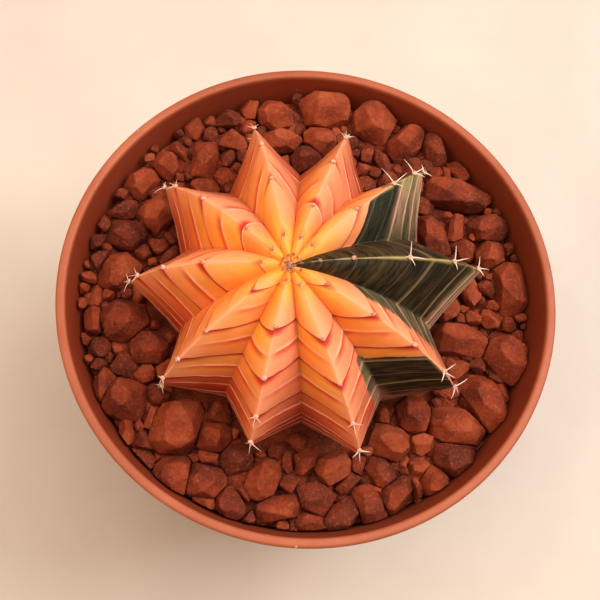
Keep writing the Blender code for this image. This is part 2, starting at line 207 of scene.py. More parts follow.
def ripple(points, size, seed, octaves=3):
    """Smooth noise of about -1 to 1: a sum of sine waves in random directions, finer at each octave."""
    draw = np.random.default_rng(seed)
    total, weight = np.zeros(points.shape[:-1]), 0
    for octave in range(octaves):
        for _ in range(5):
            wave = draw.normal(size=3)
            wave *= math.tau / (size / 1.9**octave) / np.linalg.norm(wave)
            total += np.sin(points @ wave + draw.uniform(0, math.tau)) / 1.8**octave
        weight += 2.4 / 1.8**octave
    return total / weight


def smooth_outline(outline, steps):
    """Points along the Catmull-Rom curve through an outline, at the given steps along it."""
    path = np.array(outline, float)
    ends = np.vstack([2 * path[0] - path[1], path, 2 * path[-1] - path[-2]])
    part = np.clip(np.floor(steps).astype(int), 0, len(path) - 2)
    t = (steps - part)[..., None]
    a, b, c, d = (ends[part + k] for k in range(4))
    curve = 0.5 * (2 * b + (c - a) * t + (2 * a - 5 * b + 4 * c - d) * t**2 + (3 * b - a - 3 * c + d) * t**3)
    return np.maximum(curve, [0, -np.inf]) * MM


def unit(vectors):
    return vectors / np.maximum(np.linalg.norm(vectors, axis=-1, keepdims=True), 1e-12)


# ---------------------------------------------------------------- pot


def arc(centre, radius, start, end, count=6):
    """Points of (radius, height) along a round corner, from one angle in degrees to another."""
    turn = np.radians(np.linspace(start, end, count))
    return [(centre[0] + radius * c, centre[1] + radius * s) for c, s in zip(np.cos(turn), np.sin(turn))]


def straight(start, end, count):
    """Points spaced evenly between two, without its ends."""
    share = np.linspace(0, 1, count + 2)[1:-1]
    return [(start[0] + (end[0] - start[0]) * s, start[1] + (end[1] - start[1]) * s) for s in share]


def inner_radius(height):
    return INNER_BASE + POT_TAPER * height


def pot_profile():
    """The whole section of the pot: floor, inner wall, round rim, band, tapered wall, foot and underside."""
    floor = FLOOR_LIFT + FLOOR_THICKNESS
    band = POT_HEIGHT - BAND_HEIGHT
    lean = math.degrees(math.atan(POT_TAPER))
    lip = 0.62 * MM
    inside = inner_radius(POT_HEIGHT) + lip
    band_radius = inner_radius(band) + WALL + BAND_STEP
    fillet, edge = 2 * MM, 0.5 * MM
    rise = arc((inner_radius(floor + fillet) - fillet, floor + fillet), fillet, -90, -lean)
    rim_in = arc((inside, POT_HEIGHT - lip), lip, 180 - lean, 90)
    rim_out = arc((RIM_RADIUS - lip, POT_HEIGHT - lip), lip, 90, -lean)
    band_end = arc((band_radius - edge, band + edge), edge, -lean, -90)
    step_in = [(inner_radius(band) + WALL + 0.15 * MM, band), (inner_radius(band) + WALL, band - 0.3 * MM)]
    foot = arc((BASE_RADIUS - edge, edge), edge, -lean, -90)
    under = [(BASE_RADIUS - FOOT_WIDTH, 0), (BASE_RADIUS - FOOT_WIDTH - 0.4 * MM, 0.4 * MM),
             (BASE_RADIUS - FOOT_WIDTH - 0.5 * MM, FLOOR_LIFT)]
    return (rise + straight(rise[-1], rim_in[0], 8) + rim_in + straight(rim_in[-1], rim_out[0], 2) + rim_out
            + straight(rim_out[-1], band_end[0], 4) + band_end + step_in + straight(step_in[-1], foot[0], 10)
            + foot + under)


def make_pot(material):
    """The pot's section turned about its axis, with its drain holes and foot notches cut out."""
    section = np.array(pot_profile())
    steps = 240
    turn = np.arange(steps) / steps * math.tau
    wave = 1 + 0.0007 * np.sin(2 * turn + 0.8) + 0.0004 * np.sin(5 * turn)
    height_share = np.clip(section[:, 1:] / POT_HEIGHT, 0, 1) ** 3
    radius = section[:, :1] * (1 + (wave[None, :] - 1) * height_share - 0.0011 * height_share)
    points = np.stack([radius * np.cos(turn), radius * np.sin(turn),
                       np.broadcast_to(section[:, 1:], radius.shape)], axis=-1)
    poles = np.array([[0, 0, section[0, 1]], [0, 0, section[-1, 1]]])
    rows = len(section)
    triangles = np.concatenate([
        fan_faces(rows * steps, np.arange(steps), False),
        fan_faces(rows * steps + 1, np.arange(steps) + (rows - 1) * steps, True)])
    pot = make_mesh("pot_shell", np.concatenate([points.reshape(-1, 3), poles]), grid_faces(rows, steps),
                    triangles, material)
    for cutter in drain_cutters() + notch_cutters():
        cut = pot.modifiers.new(cutter.name, "BOOLEAN")
        cut.operation, cut.solver, cut.object = "DIFFERENCE", "EXACT", cutter
    mesh = bpy.data.meshes.new_from_object(pot.evaluated_get(bpy.context.evaluated_depsgraph_get()))
    pot.modifiers.clear()
    pot.data = mesh
    for cutter in [item for item in bpy.data.objects if item.name.startswith("cutter_")]:
        bpy.data.objects.remove(cutter)
    mesh.shade_smooth()
    mesh.set_sharp_from_angle(angle=math.radians(38))
    return place(pot, "pot_plastic", ["pot"])


def drain_cutters():
    """Seven upright cylinders through the pot's floor: one in the middle and six around it."""
    cutters = []
    for k in range(7):
        angle, reach = math.tau * k / 6, 0 if k == 6 else 20 * MM
        bpy.ops.mesh.primitive_cylinder_add(vertices=48, radius=(4.5 if k == 6 else 3.5) * MM, depth=12 * MM,
                                            location=(reach * math.cos(angle), reach * math.sin(angle), 0))
        cutters.append(bpy.context.object)
        cutters[-1].name = f"cutter_drain_{k}"
    return cutters


def notch_cutters():
    """Three low bars across the foot, which open six notches in its ring."""
    cutters = []
    for k in range(3):
        bpy.ops.mesh.primitive_cube_add(size=1, rotation=(0, 0, math.pi * (k / 3 + 1 / 6)))
        bar = bpy.context.object
        bar.scale = (100 * MM, 6 * MM, 2.2 * MM)
        bar.name = f"cutter_notch_{k}"
        cutters.append(bar)
    return cutters


def pot_plastic():
    """Moulded polypropylene, coloured like terracotta: a satin sheen, faint cloudy colour and dusty specks,
    with painted shade on the inner wall below the rim.
    """
    material, tree, shader = new_surface("moulded_polypropylene", Roughness=0.5, IOR=1.49,
                                         Specular_IOR_Level=0.4, Subsurface_Weight=0.06)
    shader.inputs["Subsurface Radius"].default_value = (3 * MM, 0.9 * MM, 0.5 * MM)
    where = add(tree, "TexCoord").outputs["Object"]
    cloud = add(tree, "TexNoise", {"Vector": where, "Scale": 1 / (18 * MM), "Detail": 4.0, "Roughness": 0.55})
    base = add(tree, "ValToRGB", {"Fac": cloud.outputs["Fac"]},
               stops=[(0.30, "9A4E2E"), (0.55, "A6583A"), (0.75, "B26545")])
    height = add(tree, "SeparateXYZ", {"Vector": where})
    rings = add(tree, "TexNoise", {"W": height.outputs["Z"], "Scale": 1 / (0.9 * MM), "Detail": 3.0},
                noise_dimensions="1D")
    specks = add(tree, "TexVoronoi", {"Vector": where, "Scale": 1 / (5.5 * MM), "Randomness": 1.0})
    speck = add(tree, "MapRange", {"Value": specks.outputs["Distance"], "From Min": 0.035, "From Max": 0.06,
                                   "To Min": 1.0, "To Max": 0.0})
    dusty = add(tree, "Mix", {0: speck.outputs["Result"], 6: base.outputs["Color"], 7: linear("E8B9A6")},
                data_type="RGBA")
    scuff = add(tree, "TexNoise", {"Vector": where, "Scale": 1 / (1.1 * MM), "Detail": 5.0, "Roughness": 0.7})
    flat = add(tree, "VectorMath", {0: where, 1: (1.0, 1.0, 0.0)}, operation="MULTIPLY")
    radius = add(tree, "VectorMath", {0: flat.outputs["Vector"]}, operation="LENGTH")
    skin = add(tree, "Math", {0: height.outputs["Z"], 1: -POT_TAPER, 2: radius.outputs["Value"]},
               operation="MULTIPLY_ADD")
    # Painted shade: the inner wall is darkened below the rim, where the wall lies in shade
    inside = add(tree, "MapRange", {"Value": skin.outputs["Value"], "From Min": INNER_BASE + 0.25 * MM,
                                    "From Max": INNER_BASE + 0.55 * MM, "To Min": 1.0, "To Max": 0.0})
    below_rim = add(tree, "MapRange", {"Value": height.outputs["Z"], "From Min": POT_HEIGHT - 1.2 * MM,
                                       "From Max": POT_HEIGHT - 0.4 * MM, "To Min": 0.85, "To Max": 0.0})
    inner_wall_shade = add(tree, "Math", {0: inside.outputs["Result"], 1: below_rim.outputs["Result"]}, operation="MULTIPLY")
    rough = add(tree, "MapRange", {"Value": scuff.outputs["Fac"], "From Min": 0.3, "From Max": 0.75,
                                   "To Min": 0.46, "To Max": 0.62})
    relief = add(tree, "Math", {0: rings.outputs["Fac"], 1: scuff.outputs["Fac"]}, operation="ADD")
    # The inner wall takes the dark colour as painted shade
    stained = add(tree, "Mix", {0: inner_wall_shade.outputs["Value"], 6: dusty.outputs[2], 7: linear("7A2D14")},
                  data_type="RGBA")
    finish_surface(tree, shader, stained.outputs[2], rough.outputs["Result"], relief.outputs["Value"], 0.22,
                   0.05 * MM)
    return material


# ---------------------------------------------------------------- cactus

FLANK_COLUMNS = 22
# Where the rows lie across one scale, from its inner edge to its raised outer edge
SCALE_ROWS = np.array([0, 0.03, 0.07, 0.13, 0.2, 0.29, 0.39, 0.5, 0.61, 0.72, 0.82, 0.9, 0.95, 0.98])
LOWER_SCALES = 6  # scales below the last areole, down to the grit
LOWER_SPACING = 2.6 * MM
HIDDEN_ROWS = 9
SCALE_SWEEP = 0.03  # share of its length by which an edge line runs back between crest and furrow
MOST_SWEEP = 1.0 * MM
SCALE_HEIGHT = 0.36 * MM
FLANK_SWELL = ((0, 0), (16, 0.8), (27, 0.35), (33, -0.35), (44, -0.2), (60, 0))  # (row, swell) in mm

# Where the areoles sit, in outline steps from the crown, one row for each rib
AREOLES = (
    (0.55, 1.4, 3.4, 5.0, 6.8, 8.6), (0.6, 1.3, 2.45, 4.3, 6.0, 7.8), (0.55, 1.3, 3.05, 4.65, 5.85, 7.4),
    (0.6, 1.3, 2.25, 3.8, 5.3, 6.7), (0.7, 1.7, 3.2, 4.6, 6.0, 7.4), (0.5, 1.2, 3.0, 4.3, 5.6, 7.0),
    (0.5, 1.0, 2.7, 4.3, 5.6, 6.9), (0.6, 2.05, 4.1, 5.5, 6.75, 8.4), (0.6, 1.45, 3.45, 4.95, 6.3, 7.5),
    (0.55, 1.2, 2.35, 4.3, 5.9, 7.6),
)

FINE_STEPS = np.linspace(0, len(CREST) - 1, 1200)


def arc_length(line):
    """The length along a line of points, from its first point."""
    return np.concatenate([[0], np.cumsum(np.linalg.norm(np.diff(line, axis=0), axis=1))])


CREST_LENGTH = arc_length(smooth_outline(CREST, FINE_STEPS))


def rib_frame(rib):
    """The angles of the furrow before a rib, of its crest and of the furrow after it, and their reaches."""
    before = RIB_ANGLES[rib - 1] if rib else RIB_ANGLES[-1] + 360
    after = RIB_ANGLES[rib + 1] if rib + 1 < RIBS else RIB_ANGLES[0] - 360
    angle, reach = RIB_ANGLES[rib], RIB_REACH[rib]
    angles = [(before + angle) / 2, angle, (angle + after) / 2]
    reaches = [(RIB_REACH[rib - 1] + reach) / 2, reach, (reach + RIB_REACH[(rib + 1) % RIBS]) / 2]
    return [math.radians(a) for a in angles], reaches


def rib_line(outline, steps, angle, reach):
    """An outline stood up at one angle about the plant's centre, which slides to the crown above the widest row."""
    curve = smooth_outline(outline, steps)
    radius, height = curve[..., 0], curve[..., 1]
    widest = int(np.argmax([point[0] for point in outline]))
    lean = np.where(steps < widest, np.clip(1 - radius / (outline[widest][0] * MM), 0, 1), 0)
    full = 1 + (reach - 1) * np.clip(radius / (20 * MM), 0, 1)
    x = PLANT_CENTRE[0] + CROWN_SHIFT[0] * lean + radius * full * math.cos(angle)
    y = PLANT_CENTRE[1] + CROWN_SHIFT[1] * lean + radius * full * math.sin(angle)
    return np.stack([x, y, SEAT_LEVEL + height], axis=-1)


def scale_edges(rib):
    """Lengths along the crest where one scale ends and the next begins: just past each areole, and below them."""
    at = np.interp(AREOLES[rib], FINE_STEPS, CREST_LENGTH) + 0.45 * MM
    return np.concatenate([[0], at, at[-1] + LOWER_SPACING * np.arange(1, LOWER_SCALES + 1)])


def rib_rows(rib):
    """Each row's length along the crest, the share of its scale that it has crossed, and its scale's number."""
    edges = scale_edges(rib)
    rows = edges[:-1, None] + np.diff(edges)[:, None] * SCALE_ROWS
    rows[0, 0] = 0.25 * rows[0, 1]
    hidden = np.linspace(edges[-1], CREST_LENGTH[-1] - 0.3 * MM, HIDDEN_ROWS)
    within = np.concatenate([np.tile(SCALE_ROWS, len(edges) - 1), np.full(HIDDEN_ROWS, 0.3)])
    number = np.concatenate([np.repeat(np.arange(len(edges) - 1), len(SCALE_ROWS)),
                             np.full(HIDDEN_ROWS, len(edges) - 1)])
    spacing = np.append(np.diff(edges), 9 * MM)[number]
    return np.concatenate([rows.ravel(), hidden]), within, spacing, number


def rib_surface(rib):
    """One rib: its points and the maps that shape and colour it.

    A row is a chevron. It starts in the furrow before the rib, runs outwards to its point on the
    crest, and back to the furrow after the rib. The furrow's end of a row is the mean of what the
    two ribs beside it ask for, so neighbouring rows meet. Between, a point lies on the straight
    line from crest to furrow at its own step of the outline, with the crest rounded off.
    """
    crest_at, within, spacing, number = rib_rows(rib)

    def furrow_at(other):
        at = rib_rows(other % RIBS)[0]
        left = CREST_LENGTH[-1] - at
        return at - np.minimum(SCALE_SWEEP * at, MOST_SWEEP) * np.clip(left / (15 * MM), 0, 1)

    across = np.linspace(-1, 1, 2 * FLANK_COLUMNS + 1)[:-1]
    ends = [(furrow_at(rib - 1) + furrow_at(rib)) / 2, (furrow_at(rib) + furrow_at(rib + 1)) / 2]
    end = np.where(across < 0, ends[0][:, None], ends[1][:, None])
    bend = np.abs(across) ** 0.78
    length = crest_at[:, None] * (1 - bend) + end * bend
    steps = np.interp(length, CREST_LENGTH, FINE_STEPS)

    angles, reaches = rib_frame(rib)
    before, top, after = (rib_line(outline, steps, a, r) for outline, a, r in
                          zip((FURROW, CREST, FURROW), angles, reaches))
    rounding = np.interp(crest_at, [0, 12 * MM, 26 * MM], [0.14, 0.065, 0.035])[:, None]
    away = np.sqrt(across**2 + rounding**2) - rounding * (1 - np.abs(across))
    side = np.where(across[:, None] < 0, before, after)
    points = top + (side - top) * away[..., None]

    draw = np.random.default_rng(SEED + rib)
    every = np.ones_like(length)
    return points, {
        "row": crest_at[:, None] * every,
        "length": length,
        "within": within[:, None] * every,
        "to_edge": ((1 - within) * spacing)[:, None] * every,
        "past_edge": np.where(number > 0, within * spacing, 9 * MM)[:, None] * every,
        "spacing": spacing[:, None] * every,
        "flank": np.abs(across) * every,
        "side": np.sign(across) * every,
        "tone": draw.uniform(-1, 1, number.max() + 1)[number][:, None] * every,
    }


def scale_relief(maps):
    """How far the skin stands off the plain rib.

    A scale climbs from its inner edge to its outer one and drops at once to the next. The climb is
    higher on wide scales and fades towards the furrow. Each flank also swells between crest and furrow.
    """
    grown = np.clip(maps["row"] / (12 * MM), 0.1, 1)
    wide = np.clip(maps["spacing"] / (6 * MM), 0.6, 1.3)
    fade = (1 - 0.55 * maps["flank"] ** 2) * (0.55 + 0.45 * np.clip(maps["flank"] / 0.2, 0, 1))
    climb = maps["within"] ** 2 - 0.3
    rows, heights = np.array(FLANK_SWELL).T * MM
    swell = np.interp(maps["row"], rows, heights) * np.sin(math.pi * maps["flank"])
    return grown * wide * fade * SCALE_HEIGHT * climb + swell


def pigment(rib, maps):
    """Where the skin is green: shares from 0 to 1 of green, of brown within the green, and of cream within it.

    One rib is green all over. The flanks that face it on its neighbours are green past a certain scale.
    """
    row, side, flank = maps["row"] / MM, maps["side"], maps["flank"]
    late = side > 0
    none = np.zeros_like(row)

    def beyond(start, soft=1.0):
        return np.clip((row - start) / soft, 0, 1)

    def towards_furrow(start, soft=0.15):
        return np.clip((flank - start) / soft, 0, 1)

    if rib == 2:
        green = np.where(late, beyond(18.9), 0.85 * beyond(22, 4) * (1 - towards_furrow(0.16, 0.16)))
        return green, none, np.where(late, beyond(27.5, 2) * (1.1 - flank), 0.3)
    if rib == 3:
        tip = beyond(34, 4) * (1 - towards_furrow(0.1, 0.4))
        return none + 1, np.where(late, 0.5, 0.95), np.where(late, 0.9 * beyond(35, 2), 0.75 * tip)
    if rib == 4:
        green_side = towards_furrow(0.36, 0.3) * beyond(15, 6)
        return np.where(late, beyond(28.4), green_side), np.where(late, 0.7, 0.0), np.where(late, 0.0, 0.25)
    if rib == 5:
        return np.where(late, 0, towards_furrow(0.7) * beyond(24, 4)), none, np.where(late, 0.0, 0.35)
    return none, none, none


def furrow_blend(parts):
    """Joins the ribs' maps side by side, and lets each one run across the furrow between two ribs."""
    blended = [part.copy() for part in parts]
    for rib in range(RIBS):
        here, following = parts[rib], parts[(rib + 1) % RIBS]
        blended[(rib + 1) % RIBS][:, 0] = (here[:, -1] + following[:, 0]) / 2
    return np.concatenate(blended, axis=1)


def surface_normals(points):
    """Outward unit normals of a grid of points whose columns close on themselves."""
    down = np.gradient(points, axis=0)
    around = np.roll(points, -1, axis=1) - np.roll(points, 1, axis=1)
    return unit(np.cross(around, down))


def make_cactus(material):
    """All ribs side by side as one closed skin, with the crown and the root tip as single points."""
    surfaces = [rib_surface(rib) for rib in range(RIBS)]
    pigments = zip(*(pigment(rib, maps) for rib, (_, maps) in enumerate(surfaces)))
    points = np.concatenate([part for part, _ in surfaces], axis=1)
    maps = {key: np.concatenate([part[key] for _, part in surfaces], axis=1) for key in surfaces[0][1]}
    normals = surface_normals(points)
    outwards = points - np.array([*PLANT_CENTRE, SEAT_LEVEL])
    normals *= np.sign(np.sum(normals * outwards, axis=-1, keepdims=True))
    relief = scale_relief(maps) + 0.07 * MM * ripple(points, 4 * MM, SEED, 3)
    above_root = np.clip((points[..., 2] - SEAT_LEVEL) / (3 * MM) + 1.5, 0, 1)
    points = points + normals * (relief * above_root)[..., None]

    rows, columns = points.shape[:2]
    poles = np.array([points[0].mean(axis=0), points[-1].mean(axis=0)])
    triangles = np.concatenate([fan_faces(rows * columns, np.arange(columns), True),
                                fan_faces(rows * columns + 1, np.arange(columns) + (rows - 1) * columns, False)])
    attributes = {key: maps[key] / MM for key in ("to_edge", "past_edge", "row", "length")}
    attributes.update({key: maps[key] for key in ("within", "flank", "tone")})
    attributes.update(zip(("green", "brown", "cream"), map(furrow_blend, pigments)))
    # Painted light: how far each point faces the key lamp, for a pink tint painted on the lit flanks
    attributes["key_light_facing"] = 0.5 + 0.5 * normals @ unit(np.array([0.80, 0.40, 0.30]))
    attributes["low"] = np.clip((SEAT_LEVEL + 16 * MM - points[..., 2]) / (16 * MM), 0, 1)
    attributes = {key: np.concatenate([values.ravel(), [values[0, 0], values[-1, 0]]])
                  for key, values in attributes.items()}
    cactus = make_mesh("cactus_skin", np.concatenate([points.reshape(-1, 3), poles]),
                       grid_faces(rows, columns)[:, ::-1], triangles, material, attributes=attributes)
    return place(cactus, "cactus_skin", ["cactus_body"])


def cactus_skin():
    """Waxy living epidermis: satin, slightly translucent flesh, where green pigment is missing.

    Scales run from yellow-orange to coral, redder and darker outwards, with a pale line on the edge,
    a dark red line past it and a crimson blotch below each areole, both painted shadow. Flanks facing
    the key lamp get a painted pink light, and the furrows a painted shade. Green sectors are near
    black to brown, with cream bands on some scales.
    """
    material, tree, shader = new_surface("waxy_epidermis", IOR=1.42, Subsurface_Weight=0.12,
                                         Specular_IOR_Level=0.35)
    shader.inputs["Subsurface Radius"].default_value = (2.0 * MM, 0.7 * MM, 0.3 * MM)
    where = add(tree, "TexCoord").outputs["Object"]
    read = {key: add(tree, "Attribute", attribute_name=key).outputs["Fac"]
            for key in ("to_edge", "past_edge", "row", "length", "within", "flank", "tone", "green", "brown",
                        "cream", "key_light_facing", "low")}

    def between(value, low, high, start=0.0, end=1.0, kind="SMOOTHSTEP"):
        return add(tree, "MapRange", {"Value": value, "From Min": low, "From Max": high, "To Min": start,
                                      "To Max": end}, interpolation_type=kind).outputs["Result"]

    def mix(share, first, second):
        return add(tree, "Mix", {0: share, 6: first, 7: second}, data_type="RGBA").outputs[2]

    def combine(operation, first, second):
        return add(tree, "Math", {0: first, 1: second}, operation=operation, use_clamp=True).outputs["Value"]

    patches = add(tree, "TexNoise", {"Vector": where, "Scale": 1 / (9 * MM), "Detail": 3.0}).outputs["Fac"]
    grain = add(tree, "TexNoise", {"Vector": where, "Scale": 1 / (0.5 * MM), "Detail": 4.0,
                                   "Roughness": 0.65}).outputs["Fac"]
    # Streaks follow the scales: 0.45 mm apart across them, and several millimetres long
    along_scale = add(tree, "Math", {0: read["flank"], 1: 2.6}, operation="MULTIPLY").outputs["Value"]
    across_scale = add(tree, "Math", {0: read["row"], 1: 1.9}, operation="MULTIPLY").outputs["Value"]
    on_scale = add(tree, "CombineXYZ", {"X": across_scale, "Y": along_scale, "Z": read["tone"]}).outputs["Vector"]
    streak = add(tree, "TexNoise", {"Vector": on_scale, "Scale": 1.0, "Detail": 3.0}).outputs["Fac"]

    inner = mix(between(patches, 0.38, 0.62), linear("F4981F"), linear("F9B03C"))
    flesh = mix(between(read["within"], 0.2, 0.95, 0.0, 0.5), inner, linear("F08440"))
    flesh = mix(between(read["length"], 19.0, 38.0, 0.0, 0.85), flesh, linear("C43E16"))
    # Painted light: flanks that face the key lamp turn pink, paler near the crown and darker outwards
    lit_side_tint = mix(between(read["row"], 20.0, 40.0), linear("E68868"), linear("A84636"))
    flesh = mix(combine("MULTIPLY", between(read["key_light_facing"], 0.45, 0.85, 0.0, 0.9),
                        between(read["length"], 5.0, 15.0)), flesh, lit_side_tint)
    flesh = mix(between(streak, 0.45, 0.75, 0.0, 0.22), flesh, linear("F4A868"))
    flesh = mix(between(read["tone"], 0.0, 1.0, 0.0, 0.3), flesh, linear("F4B45C"))
    flesh = mix(between(read["tone"], -1.0, 0.0, 0.3, 0.0), flesh, linear("E07850"))
    veil = combine("MULTIPLY", between(read["flank"], 0.05, 0.6, 0.5, 0.1),
                   between(read["row"], 2.0, 9.0, 0.1, 1.0))
    flesh = mix(veil, flesh, linear("F4A470"))
    crest = combine("MULTIPLY", between(read["flank"], 0.0, 0.15, 1.0, 0.0),
                    between(read["row"], 4.0, 14.0, 0.1, 0.6))
    flesh = mix(crest, flesh, linear("F0A484"))
    flesh = mix(between(read["low"], 0.05, 0.75, 0.0, 0.92), flesh, linear("8E220C"))

    grown = between(read["row"], 5.0, 11.0, 0.15, 1.0)
    # Painted shadow: a red blotch just past each areole's scale edge, near the crest
    blotch = combine("MULTIPLY", between(read["past_edge"], 0.6, 2.1, 0.95, 0.0),
                     combine("MULTIPLY", between(read["flank"], 0.15, 0.6, 1.0, 0.0),
                             between(patches, 0.30, 0.50, 0.6, 1.0)))
    flesh = mix(combine("MULTIPLY", blotch, grown), flesh, linear("D0241C"))
    shadow = combine("MULTIPLY", between(read["past_edge"], 0.2, 0.95, 0.95, 0.0), grown)
    flesh = mix(shadow, flesh, linear("BE2C14"))
    pale = combine("MULTIPLY", between(read["to_edge"], 0.12, 0.50, 1.0, 0.0),
                   combine("MULTIPLY", between(read["row"], 5.0, 13.0, 0.25, 0.95),
                           between(read["flank"], 0.03, 0.3, 0.4, 1.0)))
    flesh = mix(pale, flesh, linear("FCC4A8"))
    # A fainter line runs along the middle of each scale, pale above, with a painted red shadow below
    middle = combine("MULTIPLY", between(read["row"], 12.0, 20.0),
                     combine("MULTIPLY", between(patches, 0.36, 0.52, 0.35, 0.8),
                             between(read["flank"], 0.06, 0.34, 0.15, 1.0)))
    fold = combine("MULTIPLY", between(read["within"], 0.40, 0.49), between(read["within"], 0.50, 0.52, 1.0, 0.0))
    flesh = mix(combine("MULTIPLY", fold, middle), flesh, linear("FBBC9C"))
    groove_shadow = combine("MULTIPLY", between(read["within"], 0.50, 0.53), between(read["within"], 0.55, 0.70, 1.0, 0.0))
    flesh = mix(combine("MULTIPLY", groove_shadow, middle), flesh, linear("C8361A"))
    # Painted shade: darker towards the furrow between ribs
    flesh = mix(between(read["flank"], 0.93, 1.0, 0.0, 0.45), flesh, linear("B8400F"))

    leaf = mix(between(grain, 0.3, 0.7), linear("0F1208"), linear("22261A"))
    leaf = mix(between(streak, 0.42, 0.66, 0.0, 0.6), leaf, linear("3A3420"))
    bark = mix(between(streak, 0.38, 0.62), linear("1C1208"), linear("44341A"))
    leaf = mix(read["brown"], leaf, bark)
    band = combine("MULTIPLY", read["cream"], between(read["within"], 0.08, 0.45, 0.45, 1.0))
    variegated = mix(between(patches, 0.40, 0.62), linear("9A9058"), linear("C49A7C"))
    leaf = mix(combine("MULTIPLY", band, between(streak, 0.30, 0.55, 0.3, 1.0)), leaf, variegated)
    leaf = mix(combine("MULTIPLY", between(read["low"], 0.35, 0.8), between(patches, 0.46, 0.6)), leaf,
               linear("A86A5A"))
    leaf = mix(combine("MULTIPLY", between(read["flank"], 0.0, 0.10, 0.9, 0.0), between(patches, 0.3, 0.5)),
               leaf, linear("A8985A"))
    leaf = mix(combine("MULTIPLY", fold, between(read["row"], 18.0, 30.0, 0.1, 0.6)), leaf, linear("A8906C"))
    ribbon = combine("MULTIPLY", between(read["cream"], 0.1, 0.6),
                     combine("ADD", between(read["to_edge"], 0.35, 1.0, 1.0, 0.0), fold))
    leaf = mix(ribbon, leaf, linear("D4A894"))
    leaf = mix(combine("MULTIPLY", between(read["to_edge"], 0.10, 0.42, 1.0, 0.0),
                       between(read["row"], 10.0, 26.0, 0.15, 0.7)), leaf, linear("B09878"))
    edge = combine("ADD", read["green"], between(streak, 0.2, 0.8, -0.28, 0.28))
    colour = mix(between(edge, 0.38, 0.62), flesh, leaf)

    speck = between(grain, 0.68, 0.78, 0.0, 0.3)
    colour = mix(speck, colour, linear("FFE2C4"))
    roughness = between(grain, 0.3, 0.7, 0.44, 0.56, "LINEAR")
    finish_surface(tree, shader, colour, roughness, grain, 0.25, 0.05 * MM)
    return material


# ---------------------------------------------------------------- areoles and spines

LONG_FROM = {2: 3, 3: 3, 4: 4, 5: 5}  # for these ribs, the areole from which the spines are long and pale


def rib_point(rib, step):
    """The crest's point at an outline step, the way outwards along it, the way across it, and the way out."""
    angles, reaches = rib_frame(rib)
    line = rib_line(CREST, np.array([step - 0.05, step, step + 0.05]), angles[1], reaches[1])
    along = unit(line[2] - line[0])
    side = np.array([-math.sin(angles[1]), math.cos(angles[1]), 0])
    out = unit(np.cross(side, along))
    if out @ np.array([math.cos(angles[1]), math.sin(angles[1]), 1.0]) < 0:
        out = -out
    return line[1], along, side, out


def spine_shape(foot, direction, droop, length, radius, value, sides=5, rings=6):
    """A spine: a tapering tube whose centre line leaves along direction and curves over towards droop."""
    share = np.linspace(0, 1, rings)[:, None]
    centre = foot + length * (direction * share + droop * 0.28 * share**2)
    ahead = unit(np.gradient(centre, axis=0))
    helper = np.array([0.31, 0.17, 0.93])
    across = unit(np.cross(ahead, helper))
    upright = np.cross(ahead, across)
    turn = np.arange(sides) / sides * math.tau
    width = radius * (1 - share**1.7 * 0.86)
    ring = across[:, None] * np.cos(turn)[:, None] + upright[:, None] * np.sin(turn)[:, None]
    points = (centre[:, None] + width[..., None] * ring).reshape(-1, 3)
    points = np.concatenate([points, [centre[0], centre[-1] + ahead[-1] * radius * 0.4]])
    last = rings * sides
    triangles = np.concatenate([fan_faces(last, np.arange(sides), True),
                                fan_faces(last + 1, np.arange(sides) + (rings - 1) * sides, False)])
    return points, grid_faces(rings, sides)[:, ::-1], triangles, value


def wool_shape(centre, out, width, height, value, seed, columns=9, rows=4):
    """A woolly pad: a low dome about the way out of the skin, with an uneven, felted outline."""
    side = unit(np.cross(out, np.array([0.2, 0.9, 0.4])))
    ahead = np.cross(out, side)
    climb = np.linspace(-0.35, 1, rows) * math.pi / 2
    turn = np.arange(columns) / columns * math.tau
    ring = side * np.cos(turn)[:, None] + ahead * np.sin(turn)[:, None]
    points = (centre + width * np.cos(climb)[:, None, None] * ring[None] * 0.98
              + out * (height * np.sin(climb))[:, None, None])
    points[-1] = centre + out * height + 0.05 * width * ring
    draw = np.random.default_rng(seed)
    points = points + draw.uniform(-0.13, 0.13, points.shape[:2] + (1,)) * width * unit(points - centre)
    points = np.concatenate([points.reshape(-1, 3), [centre - out * height * 0.5, centre + out * height * 1.03]])
    last = rows * columns
    triangles = np.concatenate([fan_faces(last, np.arange(columns), True),
                                fan_faces(last + 1, np.arange(columns) + (rows - 1) * columns, False)])
    return points, grid_faces(rows, columns)[:, ::-1], triangles, value


def spine_fan(rib, order):
    """How an areole's spines are: their count, length, radius, spread and paleness, from its age and its rib."""
    if order >= LONG_FROM.get(rib, 9):
        return 4, (3.5 - 0.2 * (order - 3)) * MM, 0.12 * MM, 1.7, 0.95
    if order < 2:
        return 2 + (order + rib) % 2, 1.0 * MM, 0.05 * MM, 0.9, 0.0
    if order < 4:
        return 3, 1.3 * MM, 0.055 * MM, 1.1, 0.2
    return 4, 2.2 * MM, 0.075 * MM, 1.3, 0.75


